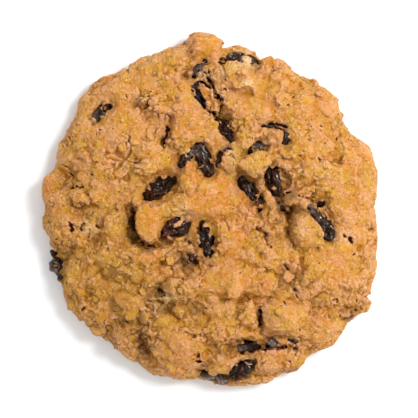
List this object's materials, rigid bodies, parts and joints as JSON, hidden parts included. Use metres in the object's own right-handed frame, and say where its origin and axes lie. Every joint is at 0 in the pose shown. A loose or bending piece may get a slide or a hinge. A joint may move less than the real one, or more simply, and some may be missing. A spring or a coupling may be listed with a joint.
{
  "type": "oatmeal raisin cookie",
  "caption": "Large round baked oatmeal cookie with an uneven rim, a lumpy browned top of rolled oats, dark raisins set in its surface, and a flat base.",
  "frame": {"origin": "middle of the flat base", "axes": "+Z up out of the top, +X right and +Y up as seen from above"},
  "size_m": [0.0921, 0.0969, 0.0163],
  "materials": {
    "baked_crumb": "matte",
    "raisin_skin": "satin"
  },
  "bodies": {
    "root": {"crumb": "baked_crumb", "raisin_01": "raisin_skin", "raisin_02": "raisin_skin", "raisin_03": "raisin_skin", "raisin_04": "raisin_skin", "raisin_05": "raisin_skin", "raisin_06": "raisin_skin", "raisin_07": "raisin_skin", "raisin_08": "raisin_skin", "raisin_09": "raisin_skin", "raisin_10": "raisin_skin", "raisin_11": "raisin_skin", "raisin_12": "raisin_skin", "raisin_13": "raisin_skin", "raisin_14": "raisin_skin", "raisin_15": "raisin_skin", "raisin_16": "raisin_skin", "raisin_17": "raisin_skin", "raisin_18": "raisin_skin", "raisin_19": "raisin_skin", "raisin_20": "raisin_skin", "raisin_21": "raisin_skin", "raisin_22": "raisin_skin", "raisin_23": "raisin_skin", "raisin_24": "raisin_skin", "raisin_25": "raisin_skin", "raisin_26": "raisin_skin"}
  },
  "joints": []
}
